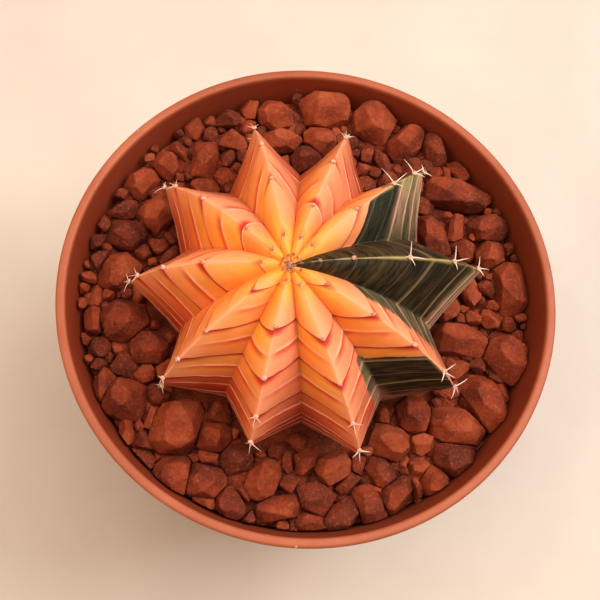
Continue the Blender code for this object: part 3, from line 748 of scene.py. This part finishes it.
def make_areoles(wool, horn):
    """Each areole's wool pad and spines: short and dark near the crown, long and pale on the shoulders."""
    pads, spines = [], []
    draw = np.random.default_rng(SEED)
    for rib in range(RIBS):
        for order, step in enumerate(AREOLES[rib]):
            foot, along, side, out = rib_point(rib, step)
            old = min(order / 3, 1)
            width = (0.27 + 0.26 * old) * MM
            foot = foot + out * (0.25 * MM + 0.1 * MM * old)
            tone = 0.15 + 0.55 * old
            pads.append(wool_shape(foot, out, width, 0.6 * width, tone, SEED + 50 * rib + order))
            for _ in range(6):
                tuft = unit(out + 1.1 * (side * draw.uniform(-1, 1) + along * draw.uniform(-1, 1)))
                pads.append(spine_shape(foot + 0.5 * width * tuft, tuft, out * 0, 0.8 * width, 0.07 * MM, tone, 4, 3))
            count, reach, radius, spread, pale = spine_fan(rib, order)
            for k in range(count):
                turn = math.tau * (k + draw.uniform(-0.18, 0.18)) / count
                lean = spread * draw.uniform(0.8, 1.25)
                direction = unit(out + lean * (side * math.cos(turn) + along * math.sin(turn)))
                length = reach * draw.uniform(0.8, 1.2) * (1.0, 1.0, 0.7, 0.55)[k]
                droop = along * 0.3 - out * 0.7 + side * draw.uniform(-0.6, 0.6)
                spines.append(spine_shape(foot, direction, droop, length, radius,
                                          np.clip(pale + draw.uniform(-0.2, 0.1), 0, 1)))
    clusters = [name for name in NODES if name.startswith("spines_rib_")]
    points, quads, triangles, values = joined(spines)
    place(make_mesh("spines", points, quads, triangles, horn, attributes={"tone": values}), "spines", clusters)
    points, quads, triangles, values = joined(pads)
    place(make_mesh("areole_wool", points, quads, triangles, wool, attributes={"tone": values}), "areole_wool")


def make_crown(wool):
    """The crown's tuft: crowded little pads and hairs in the dimple where the ribs meet."""
    centre = np.array([PLANT_CENTRE[0] + CROWN_SHIFT[0], PLANT_CENTRE[1] + CROWN_SHIFT[1],
                       SEAT_LEVEL + CREST[0][1] * MM])
    draw = np.random.default_rng(SEED + 1)
    shapes = []
    for k in range(14):
        turn, reach = k * 2.4, 0.95 * MM * math.sqrt(k / 14)
        foot = centre + np.array([reach * math.cos(turn), reach * math.sin(turn), (0.25 + 0.3 * (reach > 1 * MM)) * MM])
        out = unit(np.array([math.cos(turn) * reach / MM * 0.3, math.sin(turn) * reach / MM * 0.3, 1]))
        shapes.append(wool_shape(foot, out, draw.uniform(0.3, 0.42) * MM, 0.32 * MM, draw.uniform(-0.3, 0.4), k))
        for _ in range(4):
            lean = unit(out + draw.uniform(-0.9, 0.9, 3) * np.array([1, 1, 0.2]))
            shapes.append(spine_shape(foot, lean, -out * 0.3, draw.uniform(0.5, 1.2) * MM, 0.05 * MM,
                                      draw.uniform(-0.8, 0.5), 4, 4))
    points, quads, triangles, values = joined(shapes)
    place(make_mesh("crown_tuft", points, quads, triangles, wool, attributes={"tone": values}), "areole_wool",
          ["crown_wool"])


def areole_wool():
    """Plant wool: short matted hairs, rusty brown where young and off-white where old."""
    material, tree, shader = new_surface("plant_wool", Roughness=0.9, IOR=1.45, Sheen_Weight=0.4)
    where = add(tree, "TexCoord").outputs["Object"]
    tone = add(tree, "Attribute", attribute_name="tone").outputs["Fac"]
    fibres = add(tree, "TexNoise", {"Vector": where, "Scale": 1 / (0.25 * MM), "Detail": 4.0}).outputs["Fac"]
    age = add(tree, "Math", {0: tone, 1: fibres}, operation="ADD").outputs["Value"]
    share = add(tree, "MapRange", {"Value": age, "From Min": 0.2, "From Max": 1.5}).outputs["Result"]
    colour = add(tree, "ValToRGB", {"Fac": share},
                 stops=[(0.0, "5A3218"), (0.3, "A86A3E"), (0.6, "D49C80"), (0.95, "EBC8B4")])
    finish_surface(tree, shader, colour.outputs["Color"], None, fibres, 0.6, 0.12 * MM)
    return material


def spine_horn():
    """Keratin-like spine: dark brown on young spines, ivory to pink on old ones, with a slight gloss."""
    material, tree, shader = new_surface("spine_horn", Roughness=0.45, IOR=1.5, Subsurface_Weight=0.1)
    shader.inputs["Subsurface Radius"].default_value = (0.5 * MM, 0.3 * MM, 0.2 * MM)
    where = add(tree, "TexCoord").outputs["Object"]
    tone = add(tree, "Attribute", attribute_name="tone").outputs["Fac"]
    flecks = add(tree, "TexNoise", {"Vector": where, "Scale": 1 / (0.8 * MM), "Detail": 2.0}).outputs["Fac"]
    age = add(tree, "Math", {0: flecks, 1: 0.35, 2: tone}, operation="MULTIPLY_ADD").outputs["Value"]
    colour = add(tree, "ValToRGB", {"Fac": age},
                 stops=[(0.15, "4A2618"), (0.45, "A06A50"), (0.75, "F0CDB6"), (1.0, "FBE9DC")])
    finish_surface(tree, shader, colour.outputs["Color"], None, flecks, 0.2, 0.05 * MM)
    return material


# ---------------------------------------------------------------- stones

STONE_EDGE_SHARPNESS = 400.0
STONE_GAP = 0.35 * MM

# Smaller stones that still show one by one, in millimetres: (x, y, length, width, turn in degrees)
SMALL_STONES = (
    (8.5, -36.5, 8.5, 3.8, 10), (34.5, 3.5, 9, 3.5, 110), (0, -32.5, 7, 4.5, 50), (-2.5, -37.5, 8.5, 3.7, 10),
    (23.5, -28.5, 5.5, 5.5, 0), (-16, 35.5, 6, 5, 0), (1, -44, 7.5, 4, 170), (-36.5, -13.5, 6, 5, 60),
    (-17, 40.5, 6.5, 4.5, 10), (-38.5, 19, 7, 4, 30), (30.5, -13, 7, 4, 15), (-43, -5, 7, 4, 110),
    (23, 30.5, 5.5, 5, 60), (29.5, -1, 6, 4.5, 30), (-27.5, 32.5, 7.5, 3.5, 115), (-12.5, -38, 7, 3.5, 80),
    (-24.5, 38, 5, 4.8, 30), (-30.5, -24.5, 6, 4, 80), (32, 17.5, 7, 3.4, 80), (-42.5, 8, 5, 4.7, 0),
    (-12.5, 43, 5, 4.5, 60), (-31.5, -28.5, 5, 4.5, 160), (38.5, -2.5, 5.5, 4, 135), (23, -33.5, 5.5, 4, 0),
    (10.5, -33, 4.8, 4.5, 90), (-32.5, -32, 7, 3, 145), (-20, -40, 6, 3.5, 160), (-42, -10, 4.5, 4.5, 0),
    (16, 32.5, 8, 2.5, 120), (-35.5, -27.5, 5, 4, 100), (-19, -31.5, 7.5, 4.5, 135), (22, -37.5, 4.2, 4.2, 80),
    (33, 30.5, 7, 2.5, 135), (40, -18, 4, 4, 0), (13.5, -38, 4.5, 3.5, 160), (-3.5, -32.5, 5.5, 2.3, 85),
)


def bed_height(x, y):
    return BED_LEVEL + BED_RISE_X * x + BED_RISE_Y * y


class Stone:
    """A convex stone: its centre, and the planes round it as unit normals and distances from the centre."""

    def __init__(self, centre, half, turn, seed):
        self.centre = np.array(centre, float)
        self.half = np.array(half, float)
        self.turn = turn
        self.seed = seed
        self.normals = np.zeros((0, 3))
        self.distances = np.zeros(0)

    def support(self, directions):
        """How far the stone's ellipsoid reaches along unit directions."""
        c, s = math.cos(self.turn), math.sin(self.turn)
        x = directions[..., 0] * c + directions[..., 1] * s
        y = -directions[..., 0] * s + directions[..., 1] * c
        local = np.stack([x, y, directions[..., 2]], axis=-1)
        return np.sqrt(np.sum((self.half * local) ** 2, axis=-1))

    def reach(self, way):
        """How far from the centre the stone's surface lies in a direction."""
        facing = self.normals @ way
        return np.min(self.distances[facing > 0.05] / facing[facing > 0.05])

    def limit(self, ways, room=1.2):
        """One over the distance to an ellipsoid a little larger than the stone, which bounds loose corners."""
        c, s = math.cos(self.turn), math.sin(self.turn)
        x, y = ways[:, 0] * c + ways[:, 1] * s, ways[:, 1] * c - ways[:, 0] * s
        return np.linalg.norm(np.column_stack([x, y, ways[:, 2]]) / self.half, axis=1) / room

    def add_planes(self, normals, distances):
        keep = np.maximum(distances, 0.25 * self.half.min())
        self.normals = np.concatenate([self.normals, np.atleast_2d(normals)])
        self.distances = np.concatenate([self.distances, np.atleast_1d(keep)])

    def strike(self, count=12):
        """Random facets all round, some struck deeper than others."""
        draw = np.random.default_rng(self.seed)
        order = np.arange(count) + 0.5
        climb = np.arccos(1 - 2 * order / count)
        around = math.pi * (1 + math.sqrt(5)) * order + draw.uniform(0, math.tau)
        normals = np.stack([np.cos(around) * np.sin(climb), np.sin(around) * np.sin(climb), np.cos(climb)], -1)
        normals = unit(normals + draw.normal(0, 0.28, normals.shape))
        self.add_planes(normals, self.support(normals) * draw.uniform(0.66, 1.0, count))


def stone_from_node(name, seed):
    """A packed stone's own flat faces, read as planes about its centre."""
    mesh = NODES[name].data
    corners = np.zeros(len(mesh.vertices) * 3, np.float32)
    mesh.vertices.foreach_get("co", corners)
    corners = corners.reshape(-1, 3).astype(float)
    normals = np.zeros(len(mesh.polygons) * 3, np.float32)
    mesh.polygons.foreach_get("normal", normals)
    normals = normals.reshape(-1, 3).astype(float)
    centres = np.zeros(len(mesh.polygons) * 3, np.float32)
    mesh.polygons.foreach_get("center", centres)
    centres = centres.reshape(-1, 3).astype(float)
    middle = (corners.min(0) + corners.max(0)) / 2
    stone = Stone(middle, (corners.max(0) - corners.min(0)) / 2, 0, seed)
    distances = np.sum(normals * (centres - middle), axis=1)
    _, kept = np.unique(np.round(np.column_stack([normals * 30, distances / MM * 8])), axis=0, return_index=True)
    stone.add_planes(normals[kept], distances[kept])
    return stone


def stone_shape(stone, columns, rows, roughness, tone, sharpness=STONE_EDGE_SHARPNESS):
    """The surface round a stone's planes: along each way out, a soft minimum of the distances to its planes.

    The grid's poles lie on the stone's sides, so the top shows an even mesh.
    """
    climb = np.linspace(0, math.pi, rows + 2)[1:-1, None]
    turn = (np.arange(columns) / columns * math.tau)[None, :]
    ways = np.stack([np.cos(climb) * np.ones_like(turn), np.sin(climb) * np.cos(turn),
                     np.sin(climb) * np.sin(turn)], axis=-1)
    poles = np.array([[1.0, 0, 0], [-1.0, 0, 0]])
    ways = np.concatenate([ways.reshape(-1, 3), poles])
    swing = np.array([[math.cos(stone.turn), math.sin(stone.turn), 0],
                      [-math.sin(stone.turn), math.cos(stone.turn), 0], [0, 0, 1]])
    ways = ways @ swing
    pull = np.maximum(ways @ stone.normals.T, 0) / stone.distances
    pull = np.column_stack([pull, stone.limit(ways)])
    most = pull.max(axis=1, keepdims=True)
    reach = np.sum((pull / most) ** sharpness, axis=1) ** (-1 / sharpness) / most[:, 0]
    spot = stone.centre + ways * reach[:, None]
    reach = reach * (1 + roughness * (0.6 * ripple(spot, 3.2 * MM, stone.seed, 2)
                                      + 0.4 * ripple(spot, 0.9 * MM, stone.seed + 1, 2)))
    points = stone.centre + ways * reach[:, None]
    last = rows * columns
    triangles = np.concatenate([fan_faces(last, np.arange(columns), False),
                                fan_faces(last + 1, np.arange(columns) + (rows - 1) * columns, True)])
    return points, grid_faces(rows, columns), triangles, tone


def part_neighbours(stone, others, laid=()):
    """Adds a plane towards each stone near it: shared in proportion to their sizes, or clear of those laid before."""
    for other in others:
        between = other.centre - stone.centre
        distance = np.linalg.norm(between)
        if other is stone or distance > stone.half.max() + other.half.max() + STONE_GAP:
            continue
        way = between / distance
        mine, theirs = stone.support(way), other.support(way)
        stone.add_planes(way, distance * mine / (mine + theirs) - STONE_GAP / 2)
    for other in laid:
        between = other.centre - stone.centre
        distance = np.linalg.norm(between)
        if distance > stone.half.max() + other.half.max() + STONE_GAP:
            continue
        way = between / distance
        stone.add_planes(way, distance - other.reach(-way) - 0.6 * STONE_GAP)


def keep_inside(stone):
    """Adds planes along the pot's wall."""
    angle = math.atan2(stone.centre[1], stone.centre[0])
    radius = math.hypot(*stone.centre[:2])
    for step in (-8, 0, 8):
        way = np.array([math.cos(angle + math.radians(step)), math.sin(angle + math.radians(step)), 0])
        room = inner_radius(stone.centre[2]) - STONE_GAP - radius * math.cos(math.radians(step))
        stone.add_planes(way, room)


def plant_foot():
    """Points (x, y) all round the plant where it is widest at the height of the stones."""
    points = np.concatenate([rib_surface(rib)[0] for rib in range(RIBS)], axis=1)
    low = (points[..., 2] > SEAT_LEVEL - 6 * MM) & (points[..., 2] < SEAT_LEVEL + 4.5 * MM)
    reach = np.linalg.norm(points[..., :2] - PLANT_CENTRE, axis=-1)
    widest = np.argmax(np.where(low, reach, 0), axis=0)
    return points[widest, np.arange(points.shape[1]), :2]


def plant_room(spot, foot):
    """How far a spot lies outside the plant's foot, and the level way from it to the foot's nearest point."""
    distance = np.linalg.norm(foot - spot, axis=1)
    nearest = foot[distance.argmin()]
    outside = np.linalg.norm(spot - PLANT_CENTRE) > np.linalg.norm(nearest - PLANT_CENTRE)
    return distance.min() * (1 if outside else -1), np.append(unit(nearest - spot), 0)


def lay_stones():
    """The separate stones: those packed with the part, the smaller ones listed, and fill stones in the gaps."""
    names = sorted(name for name in NODES if name.startswith("stone_"))
    large = [stone_from_node(name, SEED + k) for k, name in enumerate(names)]
    draw = np.random.default_rng(SEED + 2)
    small = []
    for k, (x, y, length, width, turn) in enumerate(SMALL_STONES):
        height = (2.6 + 0.3 * width) * MM / 2
        centre = (x * MM, y * MM, bed_height(x * MM, y * MM) + height)
        small.append(Stone(centre, (length * MM / 2, width * MM / 2, height), math.radians(turn), 400 + k))
    foot = plant_foot()
    fill = scatter_fill(large + small, foot, draw)
    for stone in small:
        stone.strike()
        part_neighbours(stone, small, large)
        keep_inside(stone)
    for stone in fill:
        stone.strike(10)
        part_neighbours(stone, small + fill, large)
        keep_inside(stone)
        room, way = plant_room(stone.centre[:2], foot)
        stone.add_planes(way, room - STONE_GAP)
    return names, large, small, fill


def scatter_fill(laid, foot, draw, tries=14000):
    """Fill stones for the room left between the others: each is as large as its gap allows, and a little more."""
    centres = np.array([stone.centre[:2] for stone in laid])
    halves = np.array([stone.half[:2] for stone in laid])
    turns = np.array([stone.turn for stone in laid])
    fill = []
    for k in range(tries):
        angle, radius = draw.uniform(0, math.tau), math.sqrt(draw.uniform((22 * MM) ** 2, (46.8 * MM) ** 2))
        spot = radius * np.array([math.cos(angle), math.sin(angle)])
        offset = spot - centres
        along = offset[:, 0] * np.cos(turns) + offset[:, 1] * np.sin(turns)
        aside = offset[:, 1] * np.cos(turns) - offset[:, 0] * np.sin(turns)
        outside = np.hypot(along / halves[:, 0], aside / halves[:, 1])
        clear = (np.hypot(along, aside) * (1 - 1 / np.maximum(outside, 0.1))).min()
        clear = min(clear, (inner_radius(73 * MM) - 0.4 * MM - radius))
        wanted = 1.5 * MM * (1 - 0.75 * k / tries)
        if clear < wanted:
            continue
        clear = min(clear, plant_room(spot, foot)[0] - STONE_GAP)
        if clear < wanted:
            continue
        size = min(1.15 * clear + 0.35 * MM, 3.2 * MM)
        half = size * np.array([draw.uniform(1.0, 1.45), draw.uniform(0.8, 1.0), draw.uniform(0.8, 1.1)])
        top = bed_height(*spot) + draw.uniform(1.8, 3.6) * MM
        stone = Stone((*spot, top - 0.75 * half[2]), half, draw.uniform(0, math.pi), 900 + k)
        centres = np.vstack([centres, spot])
        halves = np.vstack([halves, 0.8 * half[:2]])
        turns = np.append(turns, stone.turn)
        fill.append(stone)
    return fill


def crisp(item, angle=15):
    """Keeps a stone's facets smooth and its edges sharp."""
    item.data.set_sharp_from_angle(angle=math.radians(angle))
    return item


def make_stones(rock):
    """Every stone as its own faceted surface: one object for each packed stone, one for each smaller kind."""
    names, large, small, fill = lay_stones()
    draw = np.random.default_rng(SEED + 3)
    for name, stone in zip(names, large):
        stone.distances = stone.distances + 0.1 * MM
        points, quads, triangles, value = stone_shape(stone, 60, 36, 0.022, draw.uniform(-1, 1))
        item = make_mesh(f"grit_{name}", points, quads, triangles, rock,
                         attributes={"tone": np.full(len(points), value)})
        place(crisp(item), "red_stone", [name])
    points, quads, triangles, values = joined([stone_shape(stone, 44, 26, 0.025, draw.uniform(-1, 1))
                                               for stone in small])
    item = make_mesh("grit_small_stones", points, quads, triangles, rock, attributes={"tone": values})
    place(crisp(item), "red_stone")
    points, quads, triangles, values = joined([stone_shape(stone, 20, 12, 0.02, draw.uniform(-1, 1), 120.0)
                                               for stone in fill])
    item = make_mesh("grit_fill_stones", points, quads, triangles, rock, attributes={"tone": values})
    place(crisp(item), "red_stone")
    make_under_layer(rock)


def make_under_layer(rock):
    """The chips below, seen only in the gaps: a crowded layer lying on the bed."""
    draw = np.random.default_rng(SEED + 4)
    foot = plant_foot()
    shapes = []
    for k in range(900):
        angle, radius = draw.uniform(0, math.tau), math.sqrt(draw.uniform((20 * MM) ** 2, (45.2 * MM) ** 2))
        spot = radius * np.array([math.cos(angle), math.sin(angle)])
        half = draw.uniform(1.3, 2.6) * MM * draw.uniform(0.7, 1.2, 3)
        stone = Stone((*spot, bed_height(*spot) - draw.uniform(-0.4, 1.0) * MM), half, draw.uniform(0, 3), 2000 + k)
        room, way = plant_room(spot, foot)
        if room < half.max():
            continue
        stone.strike(12)
        keep_inside(stone)
        stone.add_planes(way, room - STONE_GAP)
        # Their tones keep to the dark end: partly their own colour, partly painted shade for the gaps
        shapes.append(stone_shape(stone, 9, 5, 0.0, draw.uniform(-1, 0.2), 12.0))
    points, quads, triangles, values = joined(shapes)
    place(make_mesh("grit_under_layer", points, quads, triangles, rock, smooth=False,
                    attributes={"tone": values}), "fine_grit")


def broken_rock():
    """Crushed, iron-stained rock: matt and gritty, each stone its own red-brown, dustier on some faces,
    with painted shade in its pits.
    """
    material, tree, shader = new_surface("crushed_ironstone", IOR=1.5, Specular_IOR_Level=0.3)
    where = add(tree, "TexCoord").outputs["Object"]
    tone = add(tree, "Attribute", attribute_name="tone").outputs["Fac"]
    blotch = add(tree, "TexNoise", {"Vector": where, "Scale": 1 / (5 * MM), "Detail": 5.0, "Roughness": 0.6})
    grit = add(tree, "TexNoise", {"Vector": where, "Scale": 1 / (0.6 * MM), "Detail": 6.0, "Roughness": 0.7})
    share = add(tree, "Math", {0: tone, 1: 0.17, 2: blotch.outputs["Fac"]}, operation="MULTIPLY_ADD")
    base = add(tree, "ValToRGB", {"Fac": share.outputs["Value"]},
               stops=[(0.22, "521B0B"), (0.42, "6A2711"), (0.58, "863417"), (0.78, "984828")])
    dust = add(tree, "MapRange", {"Value": grit.outputs["Fac"], "From Min": 0.52, "From Max": 0.72,
                                  "To Min": 0.0, "To Max": 0.4})
    dusted = add(tree, "Mix", {0: dust.outputs["Result"], 6: base.outputs["Color"], 7: linear("BE7550")},
                 data_type="RGBA")
    # Painted shade: the low pits of the grit are darkened
    pit_shade = add(tree, "MapRange", {"Value": grit.outputs["Fac"], "From Min": 0.44, "From Max": 0.30,
                                  "To Min": 0.0, "To Max": 0.55})
    colour = add(tree, "Mix", {0: pit_shade.outputs["Result"], 6: dusted.outputs[2], 7: linear("451508")},
                 data_type="RGBA")
    rough = add(tree, "MapRange", {"Value": grit.outputs["Fac"], "To Min": 0.72, "To Max": 0.95})
    finish_surface(tree, shader, colour.outputs[2], rough.outputs["Result"], grit.outputs["Fac"], 0.55,
                   0.25 * MM)
    return material


def damp_soil():
    """Peaty potting mix: dark, matt and crumbly, with paler fibres."""
    material, tree, shader = new_surface("peat_mix", Roughness=0.95, IOR=1.4)
    where = add(tree, "TexCoord").outputs["Object"]
    crumbs = add(tree, "TexNoise", {"Vector": where, "Scale": 1 / (1.5 * MM), "Detail": 6.0, "Roughness": 0.7})
    colour = add(tree, "ValToRGB", {"Fac": crumbs.outputs["Fac"]},
                 stops=[(0.3, "1C110B"), (0.55, "35221A"), (0.75, "5A3E2C")])
    finish_surface(tree, shader, colour.outputs["Color"], None, crumbs.outputs["Fac"], 0.8, 0.6 * MM)
    return material


# ---------------------------------------------------------------- studio

CAMERA_DISTANCE = 0.200
CAMERA_AZIMUTH = -12.4
CAMERA_ELEVATION = 71.5
CAMERA_LENS = 60.2
CAMERA_SHIFT = (-0.0165, -0.0155)


def make_camera():
    """Looks down on the middle of the rim from a little to one side, with +Y up in the view."""
    azimuth, elevation = math.radians(CAMERA_AZIMUTH), math.radians(CAMERA_ELEVATION)
    back = Vector((math.sin(azimuth) * math.cos(elevation), -math.cos(azimuth) * math.cos(elevation),
                   math.sin(elevation)))
    right = (-back).cross(Vector((0, 1, 0))).normalized()
    up = right.cross(-back)
    data = bpy.data.cameras.new("studio_camera")
    data.lens, data.sensor_width = CAMERA_LENS, 36
    data.shift_x, data.shift_y = CAMERA_SHIFT
    data.clip_start, data.clip_end = 0.01, 10
    camera = bpy.data.objects.new("studio_camera", data)
    turn = Matrix((right, up, back)).transposed().to_4x4()
    camera.matrix_world = Matrix.Translation(Vector((0, 0, POT_HEIGHT)) + back * CAMERA_DISTANCE) @ turn
    bpy.context.scene.collection.objects.link(camera)
    bpy.context.scene.camera = camera


def make_lamp(name, place_at, size, power, colour):
    """A soft square lamp that looks at the plant."""
    data = bpy.data.lights.new(name, "AREA")
    data.size, data.energy, data.color = size, power, linear(colour)[:3]
    lamp = bpy.data.objects.new(name, data)
    lamp.location = place_at
    aim = Vector((0, 0, POT_HEIGHT)) - Vector(place_at)
    lamp.rotation_euler = aim.to_track_quat("-Z", "Y").to_euler()
    bpy.context.scene.collection.objects.link(lamp)


def make_studio():
    """A pale floor, a pale sky, a large key lamp from the right and two weak fills."""
    material, tree, shader = new_surface("pale_paper", Roughness=0.9)
    where = add(tree, "TexCoord").outputs["Object"]
    mottle = add(tree, "TexNoise", {"Vector": where, "Scale": 30.0, "Detail": 3.0})
    colour = add(tree, "ValToRGB", {"Fac": mottle.outputs["Fac"]}, stops=[(0.3, "CFC9C2"), (0.7, "D6D1CA")])
    finish_surface(tree, shader, colour.outputs["Color"])
    half = 1.5
    corners = np.array([[-half, -half, 0], [half, -half, 0], [half, half, 0], [-half, half, 0]])
    floor = make_mesh("studio_floor", corners - [0, 0, 0.00005], np.array([[0, 1, 2, 3]]), None, material, False)
    world = bpy.data.worlds.new("studio_sky")
    bpy.context.scene.world = world
    world.use_nodes = True
    world.node_tree.nodes["Background"].inputs["Color"].default_value = linear("F4EFE9")
    world.node_tree.nodes["Background"].inputs["Strength"].default_value = 0.15
    make_lamp("key_lamp", (0.36, 0.10, 0.50), 0.34, 3.1, "FFF4EA")
    make_lamp("overhead", (0.02, 0.10, 0.80), 0.60, 4.5, "FFEBDA")
    make_lamp("left_fill", (-0.45, -0.10, 0.40), 0.5, 2.0, "FFD0A0")
    bpy.context.scene.view_settings.view_transform = "Standard"


def main():
    rock, wool = broken_rock(), areole_wool()
    make_pot(pot_plastic())
    make_cactus(cactus_skin())
    make_areoles(wool, spine_horn())
    make_crown(wool)
    make_stones(rock)
    for name, material in (("soil", damp_soil()), ("grit_bed", rock)):
        NODES[name].data.materials.clear()
        NODES[name].data.materials.append(material)
    make_studio()
    make_camera()


main()
